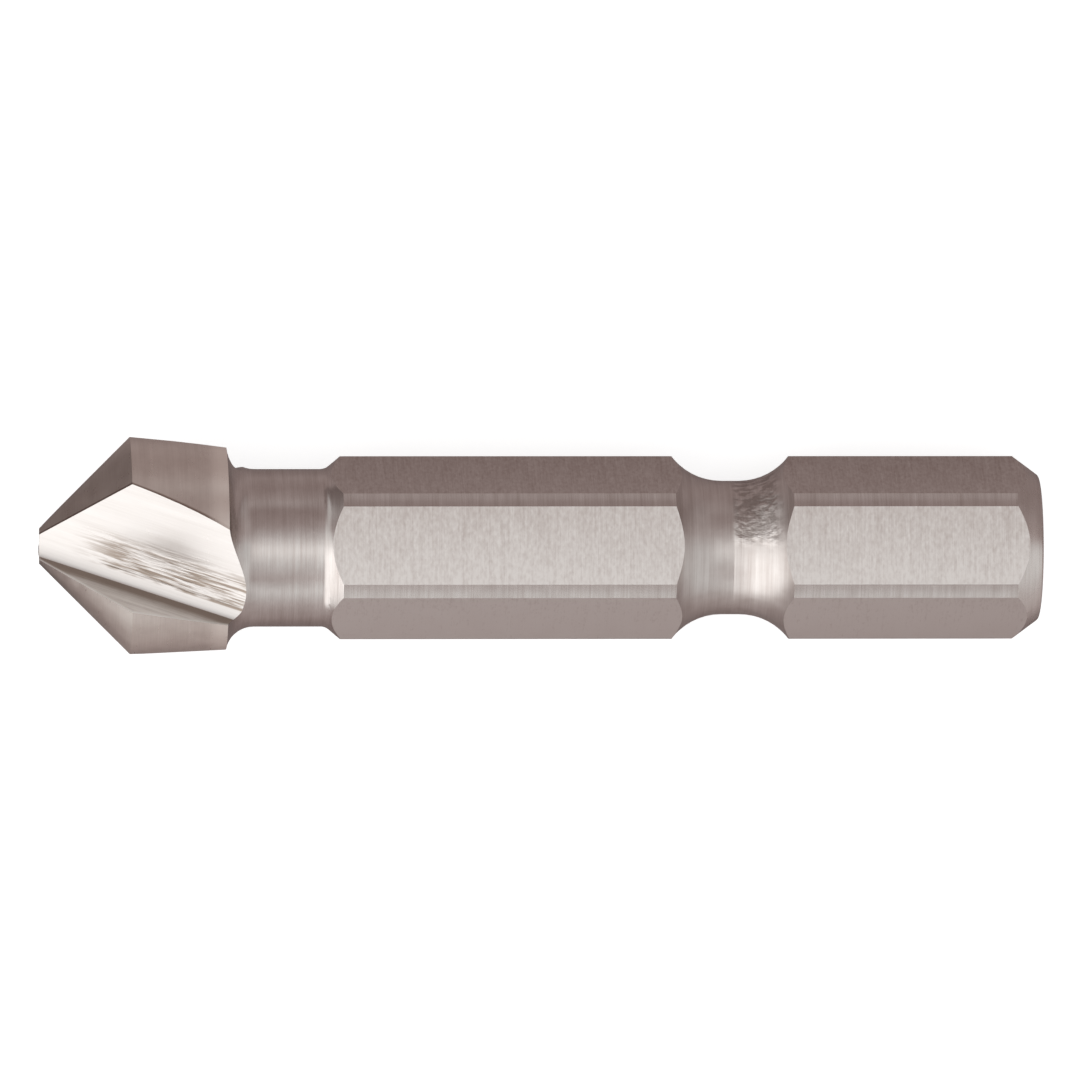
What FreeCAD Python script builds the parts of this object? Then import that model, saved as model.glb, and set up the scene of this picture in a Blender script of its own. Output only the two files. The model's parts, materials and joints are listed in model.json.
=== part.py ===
"""A three-flute 90 degree countersink bit with a hexagonal quick-change shank, in millimetres.

The bit is one piece of steel. It is turned about the X axis of its own frame, with the point at X = 0
and the end of the shank at positive X, and then the shank is milled to a hexagon, the lands are
relieved and three flutes are ground at a slope to the axis. The right-hand cutting edges are the
front edges of the lands. At rest the bit lies on a flat of the hexagon and on the widest corner of
the head, with the point a little raised.

An angle about the axis is measured from +Z towards +Y.
"""
import FreeCAD, Part
import math
import os

import Sketcher
from FreeCAD import Placement, Rotation, Vector

NODE = "countersink_bit"
FLUTES = 3
HEXAGON_SIDES = 6

SIZES = {
    # Lengths along the axis
    "overall_length": 38.42,
    "head_length": 7.14,
    "shank_start": 11.55,
    # Head
    "tip_diameter": 1.62,
    "head_diameter": 8.55,
    "point_angle": 90.0,
    "back_taper": 2.8,
    # Relief of the lands: the offset of each land's own grinding axis
    "relief_offset": 0.4,
    "edge_margin": 0.5,
    # Flutes
    "flute_slope": 22.4,
    "flute_angle": 76.5,
    "rake_lean": 31.7,
    "flute_rise": 0.098,
    "flute_offset": 0.148,
    "flute_bottom_radius": 0.3,
    "flute_turn": -54.7,
    # Neck
    "neck_diameter": 6.05,
    "neck_radius": 1.1,
    "shoulder_angle": 40.0,
    "shoulder_radius": 0.46,
    # Shank
    "across_flats": 6.35,
    "corner_diameter": 7.02,
    "end_chamfer": 1.01,
    "end_angle": 36.5,
    "end_edge_radius": 0.2,
    # Ring groove for the holder's ball
    "groove_from_end": 11.87,
    "groove_diameter": 5.13,
    "groove_flat": 0.7,
    "groove_radius": 2.4,
}

# Radii and places worked out from the sizes, as expressions
HEAD_RADIUS = "Sizes.head_diameter / 2"
TIP_RADIUS = "Sizes.tip_diameter / 2"
NECK_RADIUS = "Sizes.neck_diameter / 2"
CORNER_RADIUS = "Sizes.corner_diameter / 2"
CONE_SLOPE = "tan(Sizes.point_angle / 2)"
TAPER_SLOPE = "tan(Sizes.back_taper)"
CONE_LENGTH = f"({HEAD_RADIUS} - {TIP_RADIUS}) / {CONE_SLOPE}"
NECK_START = "(Sizes.head_length + Sizes.neck_radius)"
NECK_MIDDLE = f"({NECK_START} + Sizes.shank_start) / 2"
SHOULDER_LENGTH = f"({CORNER_RADIUS} - {NECK_RADIUS}) / tan(Sizes.shoulder_angle)"
CHAMFER_START = "(Sizes.overall_length - Sizes.end_chamfer)"
CLEAR_RADIUS = "Sizes.head_diameter"

# Each land is turned about an axis that is offset away from the middle of the land. Its radius is
# such that two neighbouring lands meet on the head's full diameter.
RELIEF_RADIUS = (
    f"sqrt(pow({HEAD_RADIUS} + Sizes.relief_offset / 2; 2) + 0.75 * pow(Sizes.relief_offset; 2))"
)
LAND_RADIUS = f"({RELIEF_RADIUS} - Sizes.relief_offset)"

# The rake wall leans over the flute. It crosses the head's widest circle at this angle from the
# plane of the flute's bottom, and the relief starts there.
RAKE_PULL = "cos(Sizes.flute_slope) * sin(Sizes.rake_lean)"
RAKE_DEPTH = (
    "(Sizes.flute_rise * sin(Sizes.rake_lean) + Sizes.flute_offset * cos(Sizes.rake_lean)"
    f" + {CONE_LENGTH} * sin(Sizes.flute_slope) * sin(Sizes.rake_lean))"
)
RAKE_REACH = f"({HEAD_RADIUS}) * sqrt(pow({RAKE_PULL}; 2) + pow(cos(Sizes.rake_lean); 2))"
EDGE_LEAD = f"atan2({RAKE_PULL}; cos(Sizes.rake_lean)) - asin({RAKE_DEPTH} / ({RAKE_REACH}))"
EDGE_TURN = f"((Sizes.flute_turn + Sizes.edge_margin) * 1 deg + {EDGE_LEAD})"
LAND_TURN = f"({EDGE_TURN} - 180 deg / {FLUTES})"


def number(sheet, expression):
    """The number that an expression has with the sheet's present sizes."""
    result = sheet.evalExpression(expression)
    return float(getattr(result, "Value", result))


def make_sheet(doc):
    """Put every driving size in its own named cell."""
    sheet = doc.addObject("Spreadsheet::Sheet", "Sizes")
    for row, (name, value) in enumerate(SIZES.items(), start=1):
        sheet.set(f"A{row}", name)
        sheet.set(f"B{row}", str(value))
        sheet.setAlias(f"B{row}", name)
    doc.recompute()
    return sheet


class Outline:
    """A closed outline of straight runs in a sketch, with some of its corners rounded.

    Every corner is a pair of expressions on the sheet, with a third for its radius where it has one.
    """

    def __init__(self, body, sheet, name, plane, offset="placement(vector(0; 0; 0); rotation(0; 0; 0))"):
        self.sheet = sheet
        self.sketch = body.newObject("Sketcher::SketchObject", name)
        planes = {feature.Role: feature for feature in body.Origin.OriginFeatures}
        self.sketch.AttachmentSupport = (planes[plane], [""])
        self.sketch.MapMode = "FlatFace"
        self.sketch.setExpression("AttachmentOffset", offset)

    def value(self, expression):
        """The number that an expression has at present."""
        return number(self.sheet, expression)

    def bind(self, constraint, expression):
        """Add a constraint whose size follows an expression."""
        index = self.sketch.addConstraint(constraint)
        self.sketch.setExpression(f"Constraints[{index}]", expression)

    def place(self, geometry, point, x, y):
        """Hold one point of the sketch at a pair of expressions."""
        self.bind(Sketcher.Constraint("DistanceX", -1, 1, geometry, point, self.value(x)), x)
        self.bind(Sketcher.Constraint("DistanceY", -1, 1, geometry, point, self.value(y)), y)

    def closed(self, corners):
        """Draw the outline through its corners and tie each one down."""
        points = [Vector(self.value(x), self.value(y), 0) for x, y, *_ in corners]
        trims = [self.trim(points, i, corner) for i, corner in enumerate(corners)]
        count = len(corners)
        lines = []
        for i in range(count):
            start, end = trims[i][1], trims[(i + 1) % count][0]
            lines.append(self.sketch.addGeometry(Part.LineSegment(start, end), False))
        for i, corner in enumerate(corners):
            before, after = lines[i - 1], lines[i]
            if len(corner) == 2:
                self.sketch.addConstraint(Sketcher.Constraint("Coincident", before, 2, after, 1))
                self.place(after, 1, *corner)
            else:
                self.round_corner(points[i], trims[i], before, after, corner)
        return self.sketch

    def trim(self, points, i, corner):
        """Where the two runs at a corner end: at the corner, or where its arc touches them."""
        if len(corner) == 2:
            return points[i], points[i]
        before = (points[i - 1] - points[i]).normalize()
        after = (points[(i + 1) % len(points)] - points[i]).normalize()
        half = before.getAngle(after) / 2
        reach = self.value(corner[2]) / math.tan(half)
        return points[i] + before * reach, points[i] + after * reach

    def round_corner(self, point, trim, before, after, corner):
        """Join two runs with an arc that touches both, round a corner that is tied down."""
        towards = (trim[0] + trim[1]) * 0.5 - point
        leg = trim[0] - point
        radius = self.value(corner[2])
        reach = (leg.Length ** 2 + radius ** 2) ** 0.5
        centre = point + towards.normalize() * reach
        middle = centre + (point - centre).normalize() * radius
        arc = self.sketch.addGeometry(Part.Arc(trim[0], middle, trim[1]), False)
        ends = (1, 2)
        if (self.sketch.getPoint(arc, 1) - trim[0]).Length > (self.sketch.getPoint(arc, 2) - trim[0]).Length:
            ends = (2, 1)
        self.sketch.addConstraint(Sketcher.Constraint("Tangent", before, 2, arc, ends[0]))
        self.sketch.addConstraint(Sketcher.Constraint("Tangent", after, 1, arc, ends[1]))
        self.bind(Sketcher.Constraint("Radius", arc, radius), corner[2])
        mark = self.sketch.addGeometry(Part.Point(point), True)
        self.sketch.addConstraint(Sketcher.Constraint("PointOnObject", mark, 1, before))
        self.sketch.addConstraint(Sketcher.Constraint("PointOnObject", mark, 1, after))
        self.place(mark, 1, corner[0], corner[1])


def turned_blank(body, sheet):
    """The blank, turned in one go: point, cone, back taper, shank and end chamfer."""
    back_radius = f"{HEAD_RADIUS} - ({NECK_MIDDLE} - {CONE_LENGTH}) * {TAPER_SLOPE}"
    end_radius = f"{CORNER_RADIUS} - Sizes.end_chamfer * tan(Sizes.end_angle)"
    sketch = Outline(body, sheet, "BlankProfile", "XZ_Plane").closed([
        ("0", "0"),
        ("0", TIP_RADIUS),
        (CONE_LENGTH, HEAD_RADIUS),
        (NECK_MIDDLE, back_radius),
        (NECK_MIDDLE, CORNER_RADIUS),
        (CHAMFER_START, CORNER_RADIUS),
        ("Sizes.overall_length", end_radius, "Sizes.end_edge_radius"),
        ("Sizes.overall_length", "0"),
    ])
    blank = body.newObject("PartDesign::Revolution", "Blank")
    blank.Profile = sketch
    blank.ReferenceAxis = (sketch, ["H_Axis"])
    blank.Angle = 360
    return blank


def turned_cut(body, sheet, name, corners):
    """Turn away all that an outline in the plane of the axis sweeps round the axis."""
    sketch = Outline(body, sheet, name + "Profile", "XZ_Plane").closed(corners)
    cut = body.newObject("PartDesign::Groove", name)
    cut.Profile = sketch
    cut.ReferenceAxis = (sketch, ["H_Axis"])
    cut.Angle = 360
    return cut


def neck(body, sheet):
    """The neck: a round waist with a hollow fillet behind the head and a sloped shoulder."""
    shoulder_top = f"Sizes.shank_start + ({CLEAR_RADIUS} - {CORNER_RADIUS}) / tan(Sizes.shoulder_angle)"
    return turned_cut(body, sheet, "Neck", [
        ("Sizes.head_length", CLEAR_RADIUS),
        ("Sizes.head_length", NECK_RADIUS, "Sizes.neck_radius"),
        (f"Sizes.shank_start - {SHOULDER_LENGTH}", NECK_RADIUS, "Sizes.shoulder_radius"),
        (shoulder_top, CLEAR_RADIUS),
    ])


def ring_groove(body, sheet):
    """The ring groove that the ball of a quick-change holder drops into."""
    half_width = "(Sizes.groove_flat / 2 + Sizes.groove_radius)"
    middle = "(Sizes.overall_length - Sizes.groove_from_end)"
    bottom = "Sizes.groove_diameter / 2"
    return turned_cut(body, sheet, "RingGroove", [
        (f"{middle} - {half_width}", CLEAR_RADIUS),
        (f"{middle} - {half_width}", bottom, "Sizes.groove_radius"),
        (f"{middle} + {half_width}", bottom, "Sizes.groove_radius"),
        (f"{middle} + {half_width}", CLEAR_RADIUS),
    ])


def hexagon(body, sheet):
    """The six flats, milled from the end of the shank into the neck, which lies inside them."""
    offset = "placement(vector(0; 0; Sizes.overall_length); rotation(0; 0; 0))"
    outline = Outline(body, sheet, "HexagonProfile", "YZ_Plane", offset)
    step = 360 // HEXAGON_SIDES
    corner = f"Sizes.across_flats / (2 * cos(180 / {HEXAGON_SIDES}))"
    sketch = outline.closed([
        (f"{corner} * cos({step * side})", f"{corner} * sin({step * side})")
        for side in range(HEXAGON_SIDES)
    ])
    rim = sketch.addGeometry(Part.Circle(Vector(), Vector(0, 0, 1), outline.value(CLEAR_RADIUS)), False)
    sketch.addConstraint(Sketcher.Constraint("Coincident", rim, 3, -1, 1))
    outline.bind(Sketcher.Constraint("Radius", rim, outline.value(CLEAR_RADIUS)), CLEAR_RADIUS)
    flats = body.newObject("PartDesign::Pocket", "Flats")
    flats.Profile = sketch
    flats.Type = "Length"
    flats.setExpression("Length", f"Sizes.overall_length - {NECK_MIDDLE}")
    return flats


def land_relief(body, sheet):
    """The relief of one land: all that stands outside a surface turned about the land's own axis.

    The sketch lies in the plane of the axis and the middle of the land.
    """
    margin = "Sizes.tip_diameter / 8"
    tip_height = f"{LAND_RADIUS} - ({HEAD_RADIUS} - {TIP_RADIUS}) - {margin} * {CONE_SLOPE}"
    back_height = f"{LAND_RADIUS} - ({NECK_START} - {CONE_LENGTH}) * {TAPER_SLOPE}"
    offset = f"placement(vector(0; 0; 0); rotation(0; 0; -{LAND_TURN}))"
    outline = Outline(body, sheet, "ReliefProfile", "XZ_Plane", offset)
    sketch = outline.closed([
        (f"-{margin}", tip_height),
        (CONE_LENGTH, LAND_RADIUS),
        (NECK_START, back_height),
        (NECK_START, CLEAR_RADIUS),
        (f"-{margin}", CLEAR_RADIUS),
    ])
    low = -outline.value("Sizes.relief_offset")
    axis = sketch.addGeometry(Part.LineSegment(Vector(0, low, 0), Vector(1, low, 0)), True)
    outline.place(axis, 1, "0", "-Sizes.relief_offset")
    outline.place(axis, 2, "1", "-Sizes.relief_offset")
    relief = body.newObject("PartDesign::Groove", "LandRelief")
    relief.Profile = sketch
    relief.ReferenceAxis = (sketch, ["Axis0"])
    relief.Angle = 360
    return relief


def flute(body, sheet):
    """One flute: a V with a rounded bottom, drawn square to its own run and cut along it.

    In the sketch X points out from the axis and Y to the front of the land that the flute serves.
    """
    offset = "placement(vector(0; 0; 0); rotation(90 - Sizes.flute_turn; Sizes.flute_slope; 0))"
    reach = "2 * Sizes.head_diameter"
    heel = "(Sizes.rake_lean + Sizes.flute_angle)"
    sketch = Outline(body, sheet, "FluteProfile", "YZ_Plane", offset).closed([
        ("Sizes.flute_rise", "Sizes.flute_offset", "Sizes.flute_bottom_radius"),
        (
            f"Sizes.flute_rise + {reach} * cos(Sizes.rake_lean)",
            f"Sizes.flute_offset - {reach} * sin(Sizes.rake_lean)",
        ),
        (
            f"Sizes.flute_rise + {reach} * cos({heel})",
            f"Sizes.flute_offset - {reach} * sin({heel})",
        ),
    ])
    cut = body.newObject("PartDesign::Pocket", "Flute")
    cut.Profile = sketch
    cut.Type = "Length"
    cut.SideType = "Symmetric"
    cut.setExpression("Length", "2 * Sizes.overall_length")
    return cut


def around(body, feature, name):
    """Repeat a cut for every land, evenly about the axis."""
    pattern = body.newObject("PartDesign::PolarPattern", name)
    pattern.Originals = [feature]
    axes = {item.Role: item for item in body.Origin.OriginFeatures}
    pattern.Axis = (axes["X_Axis"], [""])
    pattern.Angle = 360
    pattern.Occurrences = FLUTES
    body.Tip = pattern
    return pattern


def checked(doc, body, steps):
    """Recompute, and stop if a feature failed or a cut took nothing away."""
    doc.recompute()
    for item in doc.Objects:
        if {"Invalid", "Error"} & set(item.State):
            raise RuntimeError(f"{item.Name} failed: {item.State}")
    volumes = [step.Shape.Volume for step in steps]
    for step, before, after in zip(steps[1:], volumes, volumes[1:]):
        if not after < before:
            raise RuntimeError(f"{step.Name} cuts nothing")
    shape = body.Shape
    if shape.isNull() or not shape.isValid() or len(shape.Solids) != 1:
        raise RuntimeError("the bit is not one valid solid")


def lay_down(sheet, body):
    """Lay the bit on its lowest flat and the widest corner of its head, centred over the origin."""
    half_flats = "Sizes.across_flats / 2"
    flat_end = f"({CHAMFER_START} + ({CORNER_RADIUS} - {half_flats}) / tan(Sizes.end_angle))"
    lowest_land = f"({LAND_TURN} + 2 * 360 deg / {FLUTES})"
    drop = f"({RELIEF_RADIUS} + Sizes.relief_offset * cos({lowest_land}))"
    tilt = number(sheet, f"atan(({drop} - {half_flats}) / ({flat_end} - {CONE_LENGTH}))")
    body.Placement = Placement(Vector(), Rotation(Vector(0, 1, 0), tilt))
    box = body.Shape.optimalBoundingBox()
    body.Placement.Base = Vector(-box.Center.x, -box.Center.y, -box.ZMin)
    return tilt


def main():
    doc = FreeCAD.newDocument("CountersinkBit")
    sheet = make_sheet(doc)
    body = doc.addObject("PartDesign::Body", "CountersinkBit")
    body.Label = NODE
    steps = [
        turned_blank(body, sheet),
        neck(body, sheet),
        ring_groove(body, sheet),
        hexagon(body, sheet),
        around(body, land_relief(body, sheet), "LandReliefs"),
        around(body, flute(body, sheet), "Flutes"),
    ]
    checked(doc, body, steps)
    tilt = lay_down(sheet, body)
    os.makedirs("parts", exist_ok=True)
    body.Shape.exportStep(f"parts/{NODE}.step")
    box = body.Shape.optimalBoundingBox()
    print(f"volume {body.Shape.Volume:.2f} mm3, tilt {tilt:.3f} degrees")
    print(f"box {box.XLength:.3f} x {box.YLength:.3f} x {box.ZLength:.3f} mm")
    print(f"tip of the axis at {body.Placement.Base}")


main()
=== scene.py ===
"""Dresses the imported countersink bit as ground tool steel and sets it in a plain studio.

The bit's own frame has X along its axis from the point, and Z square to the flat that faces up. Sizes
are in millimetres there, and the scene is in metres. An angle about the axis runs from +Z to +Y.
"""

import json
import logging
import math
from abc import ABC, abstractmethod
from dataclasses import dataclass, field
from enum import Enum
from typing import Any, Mapping, Sequence

import bmesh
import bpy
from mathutils import Matrix, Vector

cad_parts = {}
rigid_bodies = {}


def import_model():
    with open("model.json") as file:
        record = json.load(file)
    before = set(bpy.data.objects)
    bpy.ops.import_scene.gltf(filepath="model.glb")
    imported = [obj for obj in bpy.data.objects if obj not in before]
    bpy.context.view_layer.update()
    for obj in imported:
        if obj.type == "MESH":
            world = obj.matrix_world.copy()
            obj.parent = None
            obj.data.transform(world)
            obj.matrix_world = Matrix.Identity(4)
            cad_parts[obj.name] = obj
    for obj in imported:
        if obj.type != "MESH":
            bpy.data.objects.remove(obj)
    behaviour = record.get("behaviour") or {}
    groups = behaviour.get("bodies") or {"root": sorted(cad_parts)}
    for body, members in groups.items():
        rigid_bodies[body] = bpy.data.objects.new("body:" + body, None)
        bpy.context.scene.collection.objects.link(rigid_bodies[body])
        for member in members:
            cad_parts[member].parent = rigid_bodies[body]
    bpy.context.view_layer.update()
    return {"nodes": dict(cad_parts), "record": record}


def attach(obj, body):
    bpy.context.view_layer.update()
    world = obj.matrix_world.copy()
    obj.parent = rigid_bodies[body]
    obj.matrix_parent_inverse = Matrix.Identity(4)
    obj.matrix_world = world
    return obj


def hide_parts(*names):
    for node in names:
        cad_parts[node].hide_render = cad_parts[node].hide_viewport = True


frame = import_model()

LOG = logging.getLogger("countersink_bit")
NODE = "countersink_bit"
MM = 0.001
FLUTES = 3
FLATS = 6

Colour = tuple[float, float, float]
Span = tuple[float, float]
WHITE = (1.0, 1.0, 1.0, 1.0)


class Port:
    """An output socket, or a plain number, that can be used in arithmetic."""

    def __init__(self, graph: "Graph", socket: Any) -> None:
        """Keep the graph that new nodes go to, and the socket."""
        self.graph = graph
        self.socket = socket

    def math(self, operation: str, *others: "Port | float", clamp: bool = False) -> "Port":
        """Add a Math node.

        Args:
            operation: The node's operation.
            others: The values after this one.
            clamp: Whether the result is held between 0 and 1.

        Returns:
            The node's result.
        """
        settings = {"operation": operation, "use_clamp": clamp}
        return self.graph.node("ShaderNodeMath", settings, dict(enumerate((self, *others))))

    def __add__(self, other: "Port | float") -> "Port":
        """Sum."""
        return self.math("ADD", other)

    __radd__ = __add__

    def __sub__(self, other: "Port | float") -> "Port":
        """Difference."""
        return self.math("SUBTRACT", other)

    def __rsub__(self, other: float) -> "Port":
        """Difference from a number."""
        return self.graph.port(other).math("SUBTRACT", self)

    def __mul__(self, other: "Port | float") -> "Port":
        """Product."""
        return self.math("MULTIPLY", other)

    __rmul__ = __mul__

    def __truediv__(self, other: "Port | float") -> "Port":
        """Quotient."""
        return self.math("DIVIDE", other)

    def __rtruediv__(self, other: float) -> "Port":
        """A number divided by this."""
        return self.graph.port(other).math("DIVIDE", self)

    def __neg__(self) -> "Port":
        """Opposite."""
        return self * -1.0

    def __gt__(self, other: "Port | float") -> "Port":
        """1 where this is the larger."""
        return self.math("GREATER_THAN", other)

    def __lt__(self, other: "Port | float") -> "Port":
        """1 where this is the smaller."""
        return self.math("LESS_THAN", other)

    def at_least(self, other: "Port | float") -> "Port":
        """The larger of the two."""
        return self.math("MAXIMUM", other)

    def at_most(self, other: "Port | float") -> "Port":
        """The smaller of the two."""
        return self.math("MINIMUM", other)

    def near(self, other: "Port | float", within: float) -> "Port":
        """1 where this is within a distance of the other."""
        return self.math("COMPARE", other, within)

    def step(self, start: float, end: float) -> "Port":
        """A smooth step from 0 at start to 1 at end, which may be the smaller."""
        inputs = {"Value": self, "From Min": start, "From Max": end}
        return self.graph.node("ShaderNodeMapRange", {"interpolation_type": "SMOOTHSTEP"}, inputs)


class Graph:
    """A node tree that is built from expressions."""

    def __init__(self, tree: bpy.types.NodeTree) -> None:
        """Start with an empty tree."""
        self.tree = tree
        tree.nodes.clear()

    def port(self, value: Any) -> Port:
        """A number, vector or socket as a port."""
        return value if isinstance(value, Port) else Port(self, value)

    def make(self, kind: str, settings: Mapping[str, Any], inputs: Mapping[str | int, Any]) -> bpy.types.Node:
        """Add any node.

        Args:
            kind: The node's type.
            settings: Its properties, which are set before its sockets.
            inputs: The value or link of each input, by name or number.

        Returns:
            The node.
        """
        node = self.tree.nodes.new(kind)
        for name, value in settings.items():
            setattr(node, name, value)
        for key, value in inputs.items():
            socket = self.open_socket(node, key)
            value = value.socket if isinstance(value, Port) else value
            if isinstance(value, bpy.types.NodeSocket):
                self.tree.links.new(value, socket)
            else:
                socket.default_value = value
        return node

    @staticmethod
    def open_socket(node: bpy.types.Node, key: str | int) -> bpy.types.NodeSocket:
        """The input of that number, or the enabled one of that name."""
        if isinstance(key, int):
            return node.inputs[key]
        return next(s for s in node.inputs if s.name == key and s.enabled)

    def node(
        self,
        kind: str,
        settings: Mapping[str, Any] | None = None,
        inputs: Mapping[str | int, Any] | None = None,
        output: str | None = None,
    ) -> Port:
        """Add any node and take one of its outputs.

        Args:
            kind: The node's type.
            settings: Its properties, which are set before its sockets.
            inputs: The value or link of each input.
            output: The name of the output, or nothing for the first that is enabled.

        Returns:
            The output.
        """
        node = self.make(kind, settings or {}, inputs or {})
        enabled = [s for s in node.outputs if s.enabled]
        return Port(self, next(s for s in enabled if output in (None, s.name)))

    def ramp(self, factor: Port, stops: Sequence[tuple[float, Colour]]) -> Port:
        """A colour ramp.

        Args:
            factor: What runs along the ramp.
            stops: Pairs of a place and a colour.

        Returns:
            The colour.
        """
        node = self.make("ShaderNodeValToRGB", {}, {"Fac": factor})
        elements = node.color_ramp.elements
        while len(elements) < len(stops):
            elements.new(0.5)
        for element, (place, colour) in zip(elements, stops):
            element.position = place
            element.color = (*colour, 1.0)
        return Port(self, node.outputs["Color"])

    def mix(self, factor: Port | float, first: Any, second: Any) -> Port:
        """Mix two colours."""
        first = (*first, 1.0) if isinstance(first, tuple) else first
        second = (*second, 1.0) if isinstance(second, tuple) else second
        inputs = {"Factor": factor, "A": first, "B": second}
        return self.node("ShaderNodeMix", {"data_type": "RGBA", "blend_type": "MIX"}, inputs, "Result")

    def vector(self, operation: str, *inputs: Any, output: str | None = None) -> Port:
        """Add a Vector Math node."""
        return self.node("ShaderNodeVectorMath", {"operation": operation}, dict(enumerate(inputs)), output)

    def dot(self, first: Port, second: Port | Vector) -> Port:
        """The dot product of two vectors."""
        second = tuple(second) if isinstance(second, Vector) else second
        return self.vector("DOT_PRODUCT", first, second, output="Value")

    def parts(self, vector: Port) -> tuple[Port, Port, Port]:
        """The X, Y and Z of a vector."""
        node = self.make("ShaderNodeSeparateXYZ", {}, {"Vector": vector})
        return tuple(Port(self, s) for s in node.outputs)

    def joined(self, x: Any, y: Any, z: Any) -> Port:
        """A vector from its X, Y and Z."""
        return self.node("ShaderNodeCombineXYZ", {}, {"X": x, "Y": y, "Z": z})

    def noise(
        self, vector: Port, scale: float, detail: float, roughness: float, squeeze: float = 1.0
    ) -> Port:
        """Noise from 0 to 1.

        Args:
            vector: Where it is read.
            scale: How fine it is.
            detail: How many finer layers it has.
            roughness: How strong those are.
            squeeze: What Y and Z are multiplied by, so that below 1 the noise is drawn out along them.

        Returns:
            The noise.
        """
        if squeeze != 1.0:
            vector = self.vector("MULTIPLY", vector, (1.0, squeeze, squeeze))
        inputs = {"Vector": vector, "Scale": scale, "Detail": detail, "Roughness": roughness}
        return self.node("ShaderNodeTexNoise", {"noise_dimensions": "3D"}, inputs)

    def surface(self, shader: Port) -> None:
        """Join a shader to the output of the material or world."""
        is_world = isinstance(self.tree.id_data, bpy.types.World)
        kind = "ShaderNodeOutputWorld" if is_world else "ShaderNodeOutputMaterial"
        self.make(kind, {}, {"Surface": shader})


class Cut(Enum):
    """The tools that shaped the bit, each of which leaves its own surface."""

    TURNED = "turned_steel"
    LAND = "relieved_land_steel"
    HEEL = "ground_heel_steel"
    RAKE = "ground_rake_steel"
    FLAT = "milled_flat_steel"
    GROOVE = "groove_steel"
    CHAMFER = "chamfer_steel"


@dataclass(frozen=True)
class BitSizes:
    """The sizes that its surfaces are found by, in millimetres and degrees, as the solid has them."""

    overall_length: float = 38.42
    shank_start: float = 11.55
    tip_diameter: float = 1.62
    head_diameter: float = 8.55
    back_taper: float = 2.8
    across_flats: float = 6.35
    end_chamfer: float = 1.01
    groove_from_end: float = 11.87

    @property
    def cone_length(self) -> float:
        """Length of the 90 degree cone."""
        return (self.head_diameter - self.tip_diameter) / 2

    @property
    def groove_middle(self) -> float:
        """Place of the ring groove along the axis."""
        return self.overall_length - self.groove_from_end


@dataclass(frozen=True)
class Wall:
    """One wall of the first flute: where it faces, and 1 or -1 for its side of the flute's bottom."""

    facing: Vector
    side: float


@dataclass(frozen=True)
class Flute:
    """The V of the first flute: its run, and the ways its two walls face, in the bit's frame."""

    slope: float = 22.4
    turn: float = -54.7
    rake_lean: float = 31.7
    angle: float = 76.5
    rise: float = 0.098
    offset: float = 0.148
    bottom_radius: float = 0.3

    def axes(self) -> Matrix:
        """The flute's out, side and run directions, as rows."""
        pitch, turn = math.radians(self.slope), math.radians(self.turn)
        out = Vector((-math.sin(pitch), math.cos(pitch) * math.sin(turn), math.cos(pitch) * math.cos(turn)))
        side = Vector((0.0, -math.cos(turn), math.sin(turn)))
        return Matrix((out, side, out.cross(side)))

    @property
    def run(self) -> Vector:
        """The direction that it runs in."""
        return self.axes()[2]

    def facing(self, degrees: float) -> Vector:
        """The direction at an angle from out towards side."""
        out, side, _ = self.axes()
        return out * math.cos(math.radians(degrees)) + side * math.sin(math.radians(degrees))

    @property
    def walls(self) -> dict[Cut, Wall]:
        """The heel wall, at the back of a land, and the rake wall, under a cutting edge."""
        return {
            Cut.HEEL: Wall(self.facing(90 - self.rake_lean - self.angle), 1.0),
            Cut.RAKE: Wall(self.facing(-90 - self.rake_lean), -1.0),
        }

    @property
    def corner(self) -> Vector:
        """A point of the line where the two walls would meet."""
        out, side, _ = self.axes()
        return out * self.rise + side * self.offset

    @property
    def wall_start(self) -> float:
        """How far from that line the walls start."""
        return self.bottom_radius / math.tan(math.radians(self.angle / 2))

    @property
    def middle(self) -> Vector:
        """A point of the line that the round bottom is struck about."""
        reach = self.bottom_radius / math.sin(math.radians(self.angle / 2))
        return self.corner + self.facing(-self.rake_lean - self.angle / 2) * reach

    @staticmethod
    def turned(number: int) -> Matrix:
        """The turn from the first flute to another."""
        return Matrix.Rotation(number * math.tau / FLUTES, 3, "X")

    @staticmethod
    def number(turn: Port, first: Vector) -> Port:
        """The number of the flute whose copy of the first one's direction is nearest to a turn."""
        return ((turn - math.atan2(first.y, first.z)) * (FLUTES / math.tau)).math("ROUND")

    @staticmethod
    def in_first(place: Port, number: Port) -> Port:
        """Turn a place from the flute of that number into the first."""
        inputs = {"Vector": place, "Angle": number * (math.tau / FLUTES)}
        return place.graph.node("ShaderNodeVectorRotate", {"rotation_type": "X_AXIS"}, inputs)


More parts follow.
